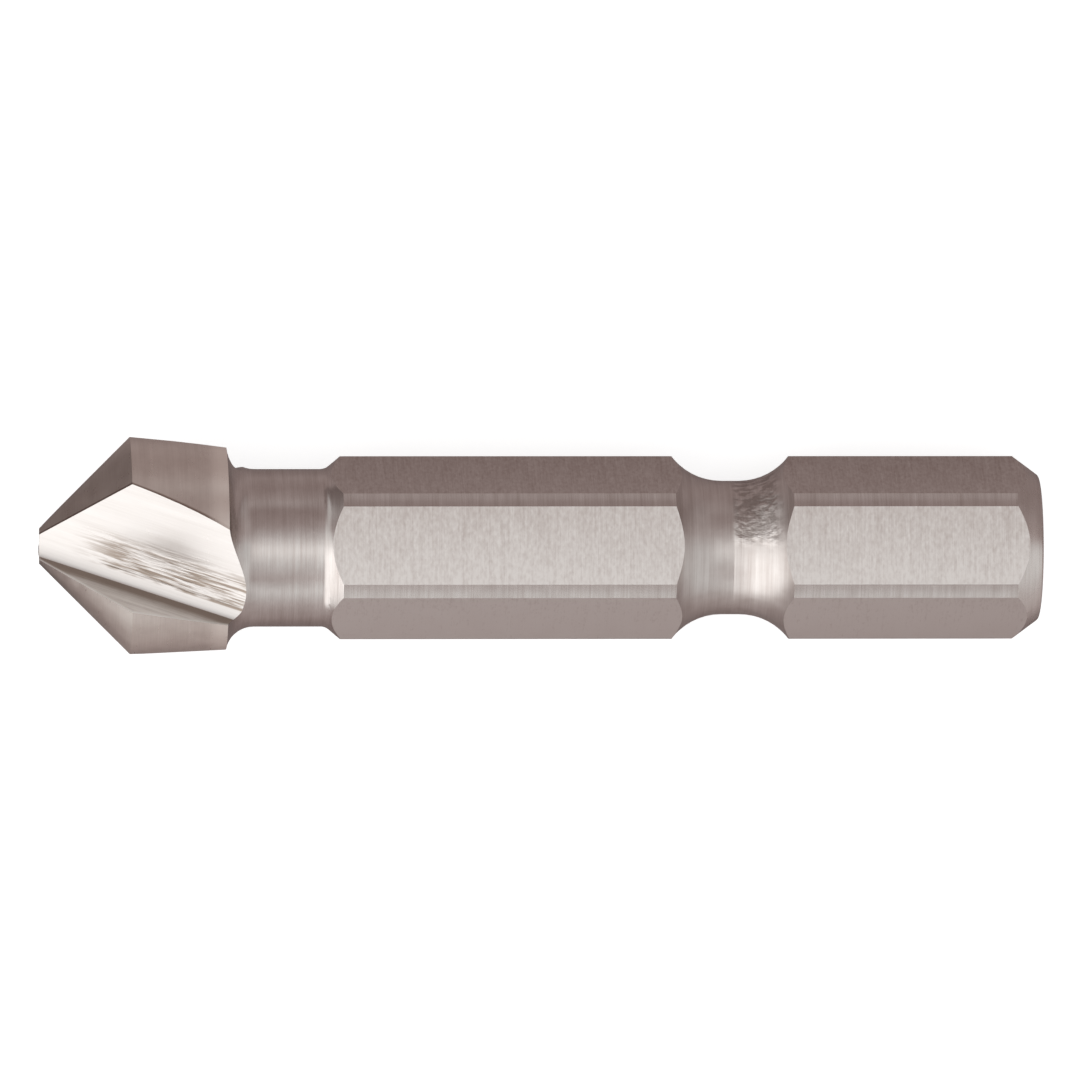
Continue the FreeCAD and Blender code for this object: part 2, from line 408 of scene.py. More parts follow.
@dataclass(frozen=True)
class Lie:
    """How the bit lies: the place of its point in the row frame and the fall of its axis."""

    point: Vector
    fall: float

    @classmethod
    def from_record(cls, record: Mapping[str, Any], sizes: BitSizes) -> "Lie":
        """Read it from the mount on the end of the shank.

        Args:
            record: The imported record.
            sizes: The bit's sizes.

        Returns:
            The lie.
        """
        end = next(m for m in record["mounts"] if m["name"] == "shank_end")
        axis = Vector(end["axis"]).normalized()
        point = Vector(end["pos_m"]) - axis * sizes.overall_length * MM
        return cls(point, math.atan2(-axis.z, axis.x))

    def own(self, vector: Port, is_place: bool = True) -> Port:
        """Turn a place or a direction of the row frame into the bit's frame.

        Args:
            vector: The place in metres, or the direction.
            is_place: Whether it is a place.

        Returns:
            The place in millimetres, or the direction.
        """
        graph = vector.graph
        if is_place:
            vector = graph.vector("SUBTRACT", vector, tuple(self.point))
            vector = graph.vector("MULTIPLY", vector, (1 / MM,) * 3)
        settings = {"rotation_type": "Y_AXIS"}
        return graph.node("ShaderNodeVectorRotate", settings, {"Vector": vector, "Angle": -self.fall})


@dataclass
class Steel:
    """The colour and the height of a finish so far, for its marks to change.

    The grain's X is measured across the tool's lines and its Y along them. On the walls of a flute, X is
    the distance from the line where the walls would meet, and Y runs along the flute.
    """

    bit: "CountersinkBit"
    lie: Lie
    grain: Port
    colour: Port
    height: Port

    @property
    def graph(self) -> Graph:
        """The material's tree."""
        return self.grain.graph

    def place(self) -> Port:
        """The place in the bit's frame."""
        return self.lie.own(self.graph.node("ShaderNodeTexCoord", {}, {}, "Object"))

    def mix_in(self, mask: Port, colour: Colour) -> None:
        """Mix a colour in, as far as the mask says, for real stains and for painted light and shade alike."""
        self.colour = self.graph.mix(mask, self.colour, colour)

    def raise_by(self, height: Port) -> None:
        """Add to the height, in millimetres."""
        self.height = self.height + height


class Mark(ABC):
    """Something that grinding or use left on a part of a finish, or light or shade painted on it. A span is
    where it starts and is full.
    """

    @abstractmethod
    def lay(self, steel: Steel) -> None:
        """Change the steel's colour and height."""


@dataclass(frozen=True)
class Hollow(Mark):
    """The curve of a wall that the round edge of a wheel left near the flute's bottom."""

    slope: float
    width: float
    fall: float = 1.6

    def lay(self, steel: Steel) -> None:
        """Change the height."""
        reach = steel.graph.parts(steel.grain)[0]
        depth = (1.0 - reach / self.width).at_least(0.0)
        steel.raise_by(depth * depth * (self.slope * self.width / 2))
        below = (steel.bit.flute.wall_start - reach).at_least(0.0)
        steel.raise_by(below * below * -self.fall)


@dataclass(frozen=True)
class RidgesWithShadeStreaks(Mark):
    """Ridges along the flute with uneven streaks of painted shade on them, and a broken brown seam of painted
    shade beside its bottom.
    """

    strength: float
    ridge: float = 0.035
    colour: Colour = (0.22, 0.165, 0.125)
    lower: Span = (0.4, 0.5)
    upper: Span = (2.3, 1.3)
    front: Span = (1.0, 3.4)
    patch_share: float = 0.22
    streaked: Span = (0.53, 0.72)
    seam_lower: Span = (0.3, 0.36)
    seam_upper: Span = (0.5, 0.42)
    seam_front: Span = (1.5, 3.0)
    seamed: Span = (0.38, 0.55)

    def lay(self, steel: Steel) -> None:
        """Change the colour and the height."""
        g = steel.graph
        reach, along, _ = g.parts(steel.grain)
        zone = reach.step(*self.lower) * reach.step(*self.upper) * along.step(*self.front)
        long = g.noise(steel.grain, scale=9.0, detail=3.0, roughness=0.6, squeeze=0.06)
        patches = g.noise(steel.grain, scale=1.8, detail=2.0, roughness=0.5, squeeze=0.4)
        streaks = (long + patches * self.patch_share).step(*self.streaked) * zone
        beside = reach.step(*self.seam_lower) * reach.step(*self.seam_upper)
        seam = beside * patches.step(*self.seamed) * along.step(*self.seam_front)
        # Painted shade: brown mixed into the streaks and the seam; the ridges laid in the height below are
        # real relief.
        steel.mix_in(streaks.at_least(seam) * self.strength, self.colour)
        steel.raise_by(long * zone * (self.ridge * self.strength))


@dataclass(frozen=True)
class TornHalf(Mark):
    """The torn half of the ring groove, on its far side from the point, where it also slopes a little."""

    depth: float
    slope: float = 0.11
    colour: Colour = (0.22, 0.18, 0.16)
    stained: float = 0.5
    low: Span = (0.6, 0.4)
    front: Span = (-0.1, 0.2)
    back: Span = (2.0, 1.4)
    side: Span = (-0.2, 0.4)

    def lay(self, steel: Steel) -> None:
        """Change the colour and the height."""
        place = steel.place()
        x, y, _ = steel.graph.parts(place)
        behind = x - steel.bit.sizes.groove_middle
        torn = behind.step(*self.front) * behind.step(*self.back) * y.step(*self.side)
        waves = steel.graph.noise(place, scale=2.6, detail=2.0, roughness=0.5, squeeze=1.6)
        steel.mix_in(torn * waves.step(*self.low) * self.stained, self.colour)
        steel.raise_by(torn * waves * self.depth)
        steel.raise_by(behind.at_least(0.0) * self.slope)


@dataclass(frozen=True)
class RimHighlight(Mark):
    """A painted highlight: the outer edges of the walls of the flutes made bright."""

    strength: float
    colour: Colour = (1.0, 0.98, 0.95)
    width: Span = (0.3, 0.1)

    def lay(self, steel: Steel) -> None:
        """Change the colour."""
        sizes = steel.bit.sizes
        x, y, z = steel.graph.parts(steel.place())
        cone = x + sizes.tip_diameter / 2
        taper = math.tan(math.radians(sizes.back_taper))
        body = sizes.head_diameter / 2 - (x - sizes.cone_length) * taper
        inside = cone.at_most(body) - (y * y + z * z).math("SQRT")
        # Painted highlight: near-white mixed in along the outer edges.
        steel.mix_in(inside.step(*self.width) * self.strength, self.colour)


@dataclass(frozen=True)
class HeelEdgeShade(Mark):
    """Painted shade: the dark edge of each land along the heel wall of the flute behind it."""

    strength: float
    colour: Colour = (0.2, 0.13, 0.1)
    heel: Span = (-0.12, -0.03)
    rake: Span = (-0.01, 0.01)

    def lay(self, steel: Steel) -> None:
        """Change the colour."""
        g, flute, place = steel.graph, steel.bit.flute, steel.place()
        edges = g.port(0.0)
        for number in range(FLUTES):
            heel, rake = (
                g.dot(place, flute.turned(number) @ wall.facing) - wall.facing.dot(flute.corner)
                for wall in flute.walls.values()
            )
            edges = heel.step(*self.heel) * rake.step(*self.rake) + edges
        # Painted shade: brown mixed in along each land's heel edge.
        steel.mix_in(edges.at_most(1.0) * self.strength, self.colour)


@dataclass(frozen=True)
class LighterBackBand(Mark):
    """The bright band at the back of the head."""

    strength: float
    colour: Colour = (1.0, 0.96, 0.89)
    front: Span = (6.2, 6.9)

    def lay(self, steel: Steel) -> None:
        """Change the colour."""
        along_axis = steel.graph.parts(steel.grain)[0]
        # Near-white mixed into the land towards the back of the head.
        steel.mix_in(along_axis.step(*self.front) * self.strength, self.colour)


@dataclass(frozen=True)
class SteelFinish:
    """One finish of bare tool steel, with its grinding or turning lines.

    Lengths are in millimetres. The shade slope is painted shade that darkens it steadily along the lines, the
    speckle adds short specks, and the shade is painted shade that darkens a wall of a flute near the bottom.
    """

    cut: Cut
    light: Colour = (0.64, 0.6, 0.575)
    dark: Colour = (0.38, 0.32, 0.295)
    roughness: float = 0.26
    metallic: float = 1.0
    line_scale: float = 9.0
    line_depth: float = 0.005
    line_contrast: float = 0.35
    line_squeeze: float = 0.25 / 6
    coarseness: float = 0.55
    mottle: float = 0.2
    shade_slope: float = 0.0
    speckle: float = 0.0
    shade: float = 0.0
    shaded: Span = (1.5, 0.4)
    marks: Sequence[Mark] = ()

    # Parts that all finishes share: the gain and the middle of the tone, the tones of the dark and the light
    # colour, what the lines and the spots do to the roughness, and the depth of the spots.
    TONE_GAIN = 2.2
    TONE_MIDDLE = 0.62
    TONE_SPAN = (0.25, 0.75)
    LINE_GLOSS = 0.16
    SPOT_GLOSS = 0.12
    SPOT_DEPTH = 0.2

    def material(self, bit: "CountersinkBit", lie: Lie) -> bpy.types.Material:
        """Build the finish.

        Args:
            bit: The bit that it is for.
            lie: How the bit lies.

        Returns:
            The material.
        """
        material = bpy.data.materials.new(self.cut.value)
        material.use_nodes = True
        g = Graph(material.node_tree)
        grain = g.node("ShaderNodeAttribute", {"attribute_name": "grain"}, {}, "Vector")
        lines = self.lines(grain)
        spots = g.noise(grain, scale=1.3, detail=4.0, roughness=0.6)
        colours = list(zip(self.TONE_SPAN, (self.dark, self.light)))
        colour = g.ramp(self.tone(grain, lines, spots).math("ADD", 0.0, clamp=True), colours)
        roughness = (0.5 - lines) * self.LINE_GLOSS + (spots - 0.5) * self.SPOT_GLOSS + self.roughness
        height = lines * self.line_depth + spots * (self.line_depth * self.SPOT_DEPTH)
        steel = Steel(bit, lie, grain, colour, height)
        for mark in self.marks:
            mark.lay(steel)
        bump = g.node("ShaderNodeBump", {}, {"Strength": 1.0, "Distance": MM, "Height": steel.height})
        inputs = {"Base Color": steel.colour, "Metallic": self.metallic, "Roughness": roughness}
        g.surface(g.node("ShaderNodeBsdfPrincipled", {}, {**inputs, "Normal": bump}))
        return material

    def lines(self, grain: Port) -> Port:
        """The tool's lines, coarse and fine together, from 0 to 1."""
        g = grain.graph
        coarse = g.noise(grain, self.line_scale, detail=3.0, roughness=0.6, squeeze=self.line_squeeze)
        fine = g.noise(grain, self.line_scale * 4.5, detail=2.0, roughness=0.7, squeeze=0.02)
        return coarse * self.coarseness + fine * (1.0 - self.coarseness)

    def tone(self, grain: Port, lines: Port, spots: Port) -> Port:
        """Where each place is between the dark and the light colour.

        Args:
            grain: The grain's place.
            lines: The tool's lines.
            spots: Soft spots.

        Returns:
            The tone.
        """
        reach, along, _ = grain.graph.parts(grain)
        lined = (lines - 0.5) * (self.TONE_GAIN * self.line_contrast)
        tone = lined + (spots - 0.5) * self.mottle + self.TONE_MIDDLE
        # Painted shade: a steady darkening along the grain's Y.
        if self.shade_slope:
            tone = tone - along * self.shade_slope
        if self.speckle:
            specks = grain.graph.noise(grain, scale=9.0, detail=2.0, roughness=0.6, squeeze=0.5)
            tone = tone + (specks - 0.5) * self.speckle
        if self.shade:
            tone = tone - reach.step(*self.shaded) * self.shade
        return tone


FINISHES = (
    SteelFinish(Cut.TURNED, roughness=0.22, line_scale=5.0, line_depth=0.0035, mottle=0.25),
    # The lands' dark heel edges are painted shade.
    SteelFinish(
        Cut.LAND, light=(0.76, 0.71, 0.66), dark=(0.47, 0.41, 0.37), roughness=0.3,
        line_scale=5.0, line_depth=0.003, line_contrast=0.2, mottle=0.3,
        marks=(HeelEdgeShade(strength=0.8), LighterBackBand(strength=0.7)),
    ),
    # The heel's brown streaks and seam are painted shade on real ridges.
    SteelFinish(
        Cut.HEEL, light=(0.665, 0.635, 0.615), dark=(0.48, 0.44, 0.41), roughness=0.3,
        line_scale=3.2, line_depth=0.004, line_contrast=0.2, mottle=0.12,
        marks=(Hollow(slope=0.6, width=2.0), RidgesWithShadeStreaks(strength=0.85)),
    ),
    # The rake's shade and its bright rim are painted shade and painted highlight.
    SteelFinish(
        Cut.RAKE, light=(0.97, 0.93, 0.89), dark=(0.4, 0.32, 0.27), roughness=0.5, metallic=0.7,
        line_scale=3.0, line_depth=0.004, shade=0.6, marks=(RimHighlight(strength=0.8),),
    ),
    # The flats' shade slope is painted shade.
    SteelFinish(
        Cut.FLAT, light=(0.66, 0.625, 0.6), dark=(0.4, 0.34, 0.315), roughness=0.34,
        line_scale=5.0, line_depth=0.0025, line_contrast=0.25, line_squeeze=0.1, coarseness=0.4,
        mottle=0.15, shade_slope=0.06, speckle=0.5,
    ),
    SteelFinish(
        Cut.GROOVE, roughness=0.35, line_scale=4.0, line_depth=0.004, mottle=0.3,
        marks=(TornHalf(depth=0.07),),
    ),
    SteelFinish(
        Cut.CHAMFER, light=(0.76, 0.72, 0.69), dark=(0.48, 0.42, 0.39), roughness=0.28,
        line_scale=6.0, line_depth=0.004,
    ),
)


@dataclass
class CountersinkBit:
    """The whole bit, in one piece of steel."""

    sizes: BitSizes = field(default_factory=BitSizes)
    flute: Flute = field(default_factory=Flute)
    finishes: Sequence[SteelFinish] = FINISHES
    same_point: float = 0.0015
    sharp_edge: float = 19.0

    def blank(self) -> bpy.types.Mesh:
        """The solid's mesh with its doubles merged and its edges marked sharp.

        Returns:
            The mesh.
        """
        mesh = frame["nodes"][NODE].data.copy()
        mesh.materials.clear()
        work = bmesh.new()
        work.from_mesh(mesh)
        bmesh.ops.remove_doubles(work, verts=work.verts, dist=self.same_point * MM)
        for edge in work.edges:
            edge.smooth = edge.calc_face_angle(0.0) < math.radians(self.sharp_edge)
        for face in work.faces:
            face.smooth = True
        work.to_mesh(mesh)
        work.free()
        return mesh

    def build(self) -> bpy.types.Object:
        """Make the piece, with each surface in the finish of the tool that cut it.

        Returns:
            The piece's object.
        """
        lie = Lie.from_record(frame["record"], self.sizes)
        piece = bpy.data.objects.new("ground_bit", self.blank())
        bpy.context.scene.collection.objects.link(piece)
        materials = {f.cut: f.material(self, lie) for f in self.finishes}
        for material in materials.values():
            piece.data.materials.append(material)
        piece.data = SurfaceMap(self.sizes, self.flute, lie, materials).applied(piece)
        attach(piece, "root")
        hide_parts(NODE)
        LOG.info("%s: %d faces, %s", piece.name, len(piece.data.polygons), self.counts(piece.data))
        return piece

    @staticmethod
    def counts(mesh: bpy.types.Mesh) -> dict[str, int]:
        """How many faces have each material."""
        counts = {m.name: 0 for m in mesh.materials if m}
        for polygon in mesh.polygons:
            counts[mesh.materials[polygon.material_index].name] += 1
        return counts


@dataclass
class SurfaceMap:
    """Finds which tool cut each surface, from where it is and how it faces, and lays the grain on it."""

    sizes: BitSizes
    flute: Flute
    lie: Lie
    materials: Mapping[Cut, bpy.types.Material]

    # The cosine between turns about the axis that count as the same, the axial normal of the 90 degree
    # cone, how far before the shank the head's and the flats' faces may go, the radius that the lands stay
    # outside, half the length of the ring groove, and what parts one flute's noise from the next.
    SAME_TURN = 0.97
    CONE_NORMAL = -math.sqrt(0.5)
    HEAD_END = 1.0
    FLATS_START = 1.2
    LAND_RADIUS = 3.55
    GROOVE_REACH = 2.6
    FLUTE_SPACING = 7.0

    def inputs(self) -> dict[str, float]:
        """The tree's inputs by name, in millimetres."""
        s = self.sizes
        return {
            "Cone length": s.cone_length,
            "Shank start": s.shank_start,
            "Half across flats": s.across_flats / 2,
            "Chamfer start": s.overall_length - s.end_chamfer,
            "Groove middle": s.groove_middle,
        }

    def applied(self, piece: bpy.types.Object) -> bpy.types.Mesh:
        """Run the tree on a piece.

        Args:
            piece: The piece, which is left without the tree.

        Returns:
            The mesh with its grain and its materials.
        """
        modifier = piece.modifiers.new("Surfaces", "NODES")
        modifier.node_group = self.tree()
        inputs = self.inputs()
        for item in modifier.node_group.interface.items_tree:
            if item.in_out == "INPUT" and item.name in inputs:
                modifier[item.identifier] = inputs[item.name]
        depsgraph = bpy.context.evaluated_depsgraph_get()
        mesh = bpy.data.meshes.new_from_object(piece.evaluated_get(depsgraph), depsgraph=depsgraph)
        piece.modifiers.remove(modifier)
        return mesh

    def tree(self) -> bpy.types.NodeTree:
        """Build the tree.

        Returns:
            A tree that takes the blank and gives it back with its grain and its materials.
        """
        tree = bpy.data.node_groups.new("Tool surfaces", "GeometryNodeTree")
        tree.interface.new_socket("Geometry", in_out="INPUT", socket_type="NodeSocketGeometry")
        for name in self.inputs():
            tree.interface.new_socket(name, in_out="INPUT", socket_type="NodeSocketFloat")
        tree.interface.new_socket("Geometry", in_out="OUTPUT", socket_type="NodeSocketGeometry")
        g = Graph(tree)
        entry = g.make("NodeGroupInput", {}, {})
        size = {name: Port(g, entry.outputs[name]) for name in self.inputs()}
        place = self.lie.own(g.node("GeometryNodeInputPosition"))
        facing = self.lie.own(g.node("GeometryNodeInputNormal", {}, {}, "Normal"), is_place=False)
        head = g.parts(place)[0] < size["Shank start"] - self.HEAD_END
        bottom = self.flute_bottom(place, facing) * head
        masks = self.head_masks(place, facing, bottom, size["Cone length"])
        masks = {cut: mask * head for cut, mask in masks.items()} | self.shank_masks(place, facing, size)
        grain = self.laid_grain(place, facing, masks, bottom)
        settings = {"data_type": "FLOAT_VECTOR", "domain": "CORNER"}
        inputs = {"Geometry": Port(g, entry.outputs["Geometry"]), "Name": "grain", "Value": grain}
        geometry = g.node("GeometryNodeStoreNamedAttribute", settings, inputs)
        geometry = g.node("GeometryNodeRealizeInstances", {}, {"Geometry": geometry})
        for cut in Cut:
            selection = self.as_choice(masks[cut]) if cut in masks else True
            inputs = {"Geometry": geometry, "Selection": selection, "Material": self.materials[cut]}
            geometry = g.node("GeometryNodeSetMaterial", {}, inputs)
        g.make("NodeGroupOutput", {}, {"Geometry": geometry})
        return tree

    @staticmethod
    def as_choice(mask: Port) -> Port:
        """A mask of 0 and 1 as a true or false."""
        settings = {"data_type": "FLOAT", "operation": "GREATER_THAN"}
        return mask.graph.node("FunctionNodeCompare", settings, {"A": mask, "B": 0.5})

    def head_masks(self, place: Port, facing: Port, bottom: Port, cone_length: Port) -> dict[Cut, Port]:
        """Which faces of the head each tool cut.

        Args:
            place: The face's place in the bit's frame.
            facing: The face's normal there.
            bottom: A mask of the flutes' bottoms.
            cone_length: Length of the cone.

        Returns:
            A mask for each tool, which may take in some faces of the shank.
        """
        x, y, z = place.graph.parts(place)
        nx = place.graph.parts(facing)[0]
        radius = (y * y + z * z).math("SQRT")
        cone = nx.near(self.CONE_NORMAL, within=0.06) * (x < cone_length)
        taper = math.sin(math.radians(self.sizes.back_taper))
        body = nx.near(taper, within=0.02) * (radius > self.LAND_RADIUS)
        heel, rake = (self.on_wall(place, facing, wall.facing) for wall in self.flute.walls.values())
        return {Cut.LAND: cone.at_least(body), Cut.HEEL: heel.at_least(bottom), Cut.RAKE: rake}

    def on_wall(self, place: Port, facing: Port, wall: Vector) -> Port:
        """1 on the same wall of all the flutes.

        Args:
            place: The place in the bit's frame.
            facing: The normal there.
            wall: Where the wall of the first flute faces.

        Returns:
            The mask.
        """
        nx, ny, nz = place.graph.parts(facing)
        turn = ny.math("ARCTAN2", nz)
        same_turn = ((turn - math.atan2(wall.y, wall.z)) * FLUTES).math("COSINE") > self.SAME_TURN
        level = place.graph.dot(self.flute.in_first(place, self.flute.number(turn, wall)), wall)
        on_plane = level.near(wall.dot(self.flute.corner), within=0.02)
        return nx.near(wall.x, within=0.04) * same_turn * on_plane

    def flute_bottom(self, place: Port, facing: Port) -> Port:
        """1 in the round bottoms of the flutes.

        Args:
            place: The place in the bit's frame.
            facing: The normal there.

        Returns:
            The mask.
        """
        g = place.graph
        total = g.port(0.0)
        for number in range(FLUTES):
            turn = self.flute.turned(number)
            run = tuple(turn @ self.flute.run)
            off = g.vector("SUBTRACT", place, tuple(turn @ self.flute.middle))
            out = g.vector("CROSS_PRODUCT", run, g.vector("CROSS_PRODUCT", off, run))
            distance = g.vector("LENGTH", out, output="Value")
            inwards = g.dot(facing, g.vector("NORMALIZE", out)) < -0.95
            total = distance.near(self.flute.bottom_radius - 0.01, within=0.02) * inwards + total
        return total.at_most(1.0)

    def shank_masks(self, place: Port, facing: Port, size: Mapping[str, Port]) -> dict[Cut, Port]:
        """Which faces of the shank each tool cut.

        Args:
            place: The face's place in the bit's frame.
            facing: The face's normal there.
            size: The sizes by name.

        Returns:
            A mask for each tool.
        """
        x, y, z = place.graph.parts(place)
        nx, ny, nz = place.graph.parts(facing)
        half = size["Half across flats"]
        side = (ny.math("ARCTAN2", nz) * float(FLATS)).math("COSINE") > self.SAME_TURN
        outside = (y * y + z * z).math("SQRT") > half - 0.01
        flat = nx.near(0.0, within=0.02) * side * outside * (x > size["Shank start"] - self.FLATS_START)
        height = y * ny + z * nz
        off_middle = (x - size["Groove middle"]).math("ABSOLUTE")
        return {
            Cut.FLAT: flat * height.near(half, within=0.01),
            Cut.GROOVE: (off_middle < self.GROOVE_REACH) * (height < half - 0.005),
            Cut.CHAMFER: (x > size["Chamfer start"]) * (nx > 0.2),
        }

    def laid_grain(self, place: Port, facing: Port, masks: Mapping[Cut, Port], bottom: Port) -> Port:
        """Lay the grain: X across the tool's lines, Y and Z along them.

        Args:
            place: The place in the bit's frame.
            facing: The normal there.
            masks: Which faces each tool cut.
            bottom: A mask of the flutes' bottoms.

        Returns:
            The grain.
        """
        _, ny, nz = place.graph.parts(facing)
        grain = place
        for cut, wall in self.flute.walls.items():
            number = self.flute.number(ny.math("ARCTAN2", nz), wall.facing)
            first = self.flute.in_first(place, number)
            reach = self.wall_reach(first, wall)
            grain = self.along_flute(grain, first, number, reach, masks[cut] * (1.0 - bottom))
        _, y, z = place.graph.parts(place)
        number = self.flute.number(y.math("ARCTAN2", z), self.flute.middle)
        first = self.flute.in_first(place, number)
        return self.along_flute(grain, first, number, self.arc_reach(first), bottom)

    def wall_reach(self, first: Port, wall: Wall) -> Port:
        """The distance along a wall from the line where the walls would meet.

        Args:
            first: The place in the first flute.
            wall: The wall.

        Returns:
            The distance in millimetres.
        """
        across = wall.facing.cross(self.flute.run) * wall.side
        return first.graph.dot(first, across) - across.dot(self.flute.corner)

    def arc_reach(self, first: Port) -> Port:
        """The heel wall's distance carried on round the arc of the bottom.

        Args:
            first: The place in the first flute.

        Returns:
            The distance in millimetres.
        """
        heel = self.flute.walls[Cut.HEEL]
        start = self.flute.wall_start
        depth = heel.facing.dot(self.flute.middle) - first.graph.dot(first, heel.facing)
        angle = (start - self.wall_reach(first, heel)).math("ARCTAN2", depth)
        return start - angle * self.flute.bottom_radius

    def along_flute(self, grain: Port, first: Port, number: Port, reach: Port, mask: Port) -> Port:
        """Turn the grain along the flutes where a mask says.

        Args:
            grain: The grain elsewhere.
            first: The place in the first flute.
            number: Which of the flutes it is in.
            reach: The distance from the line where the walls would meet.
            mask: Where the grain runs so.

        Returns:
            The grain.
        """
        g = grain.graph
        along = g.joined(reach, g.dot(first, self.flute.run), number * self.FLUTE_SPACING)
        mask = g.node("GeometryNodeFieldOnDomain", {"domain": "FACE", "data_type": "FLOAT"}, {"Value": mask})
        settings = {"data_type": "VECTOR", "factor_mode": "UNIFORM"}
        return g.node("ShaderNodeMix", settings, {"Factor": mask, "A": grain, "B": along}, "Result")


@dataclass(frozen=True)
class Panel:
    """A soft area lamp."""

    name: str
    towards: tuple[float, float, float]
    size: Span
    glow: float
    distance: float = 0.4

    def build(self, aim: Vector) -> bpy.types.Object:
        """Hang the lamp.

        Args:
            aim: The place that it shines at.

        Returns:
            The lamp's object.
        """
        lamp = bpy.data.lights.new(self.name, "AREA")
        lamp.shape = "RECTANGLE"
        lamp.size, lamp.size_y = self.size
        lamp.energy = self.glow * math.pi * self.size[0] * self.size[1]
        item = bpy.data.objects.new(self.name, lamp)
        bpy.context.scene.collection.objects.link(item)
        towards = Vector(self.towards).normalized()
        item.location = aim + towards * self.distance
        item.rotation_euler = towards.to_track_quat("Z", "Y").to_euler()
        item.visible_camera = False
        item.visible_glossy = False
        return item


@dataclass(frozen=True)
class Lining:
    """A warm tent that only the steel's reflections show, with its own light in each direction.

    The left, middle and right of the tent each have pairs of a turn and a level. The turn is in degrees
    from straight up towards the front, which is -Y, and the level is what a white surface would show. A
    direction is measured from the bit's middle line, which ends at the reach. A blend is a span of its X.
    """

    radius: float = 0.6
    clearance: float = 0.04
    middle_height: float = 6.5
    reach: float = 18.0
    peak: float = 1.8
    neutral_level: float = 0.72
    brown_below: float = 0.4
    brown: Colour = (0.12, -0.11, -0.14)
    left_blend: Span = (0.02, -0.17)
    right_blend: Span = (0.25, 0.65)
    rear_level: float = 0.8
    rear_share: float = 0.7
    left: Sequence[Span] = (
        (-180, 0.18), (-110, 0.18), (-60, 0.28), (-40, 0.5), (-25, 0.82), (-8, 1.15), (4, 1.5), (20, 1.7),
        (94, 1.7), (104, 1.4), (115, 0.9), (127, 0.42), (138, 0.26), (150, 0.16), (163, 0.07),
        (180, 0.05),
    )
    middle: Sequence[Span] = (
        (-180, 0.12), (-150, 0.18), (-132, 0.28), (-120, 0.38), (-95, 0.33), (-75, 0.43), (-68, 0.52),
        (-56, 0.31), (-29, 0.4), (-15, 0.62), (2, 1.13), (9, 1.15), (20, 0.88), (32, 0.68), (48, 0.5),
        (62, 0.76), (69, 0.9), (78, 0.7), (92, 0.53), (122, 0.41), (134, 0.27), (155, 0.14), (180, 0.12),
    )
    right: Sequence[Span] = (
        (-180, 0.25), (-90, 0.27), (-50, 0.38), (-20, 0.52), (0, 0.74), (40, 0.82), (90, 0.76), (120, 0.5),
        (180, 0.27),
    )

    def build(self) -> bpy.types.Object:
        """Make the tent, with a floor of its own just above the table.

        Returns:
            The tent's object.
        """
        mesh = bpy.data.meshes.new("lining")
        work = bmesh.new()
        bmesh.ops.create_icosphere(work, subdivisions=5, radius=self.radius)
        for vertex in work.verts:
            vertex.co.z = max(vertex.co.z, self.clearance * MM)
        work.to_mesh(mesh)
        work.free()
        lining = bpy.data.objects.new("lining", mesh)
        bpy.context.scene.collection.objects.link(lining)
        for ray in ("camera", "diffuse", "transmission", "volume_scatter", "shadow"):
            setattr(lining, f"visible_{ray}", False)
        mesh.materials.append(self.material())
        return lining

    def tint(self, level: float) -> Colour:
        """The colour of a level: brown where it is dark, and neutral where it is bright."""
        warmth = min(1.0, max(0.0, (self.neutral_level - level) / self.brown_below))
        return tuple(level / self.peak * (1 + warmth * part) for part in self.brown)

    def material(self) -> bpy.types.Material:
        """The tent's own light.

        Returns:
            The material.
        """
        material = bpy.data.materials.new("warm_lining")
        material.use_nodes = True
        g = Graph(material.node_tree)
        place = g.node("ShaderNodeTexCoord", {}, {}, "Object")
        along = g.parts(place)[0]
        nearest = along.at_least(-self.reach * MM).at_most(self.reach * MM)
        place = g.vector("SUBTRACT", place, g.joined(nearest, 0.0, self.middle_height * MM))
        x, y, z = g.parts(g.vector("NORMALIZE", place))
        turn = (-y).math("ARCTAN2", z) / math.tau + 0.5
        left, middle, right = (
            g.ramp(turn, [(angle / 360 + 0.5, self.tint(level)) for angle, level in levels])
            for levels in (self.left, self.middle, self.right)
        )
        colour = g.mix(x.step(*self.left_blend), middle, left)
        colour = g.mix(x.step(*self.right_blend), colour, right)
        ends = x.step(-0.35, -0.6) + x.step(0.35, 0.6) * 0.3
        rear = ends * y.step(0.25, 0.6) * z.step(-0.05, 0.1)
        colour = g.mix(rear * self.rear_share, colour, self.tint(self.rear_level))
        g.surface(g.node("ShaderNodeEmission", {}, {"Color": colour, "Strength": self.peak}))
        return material


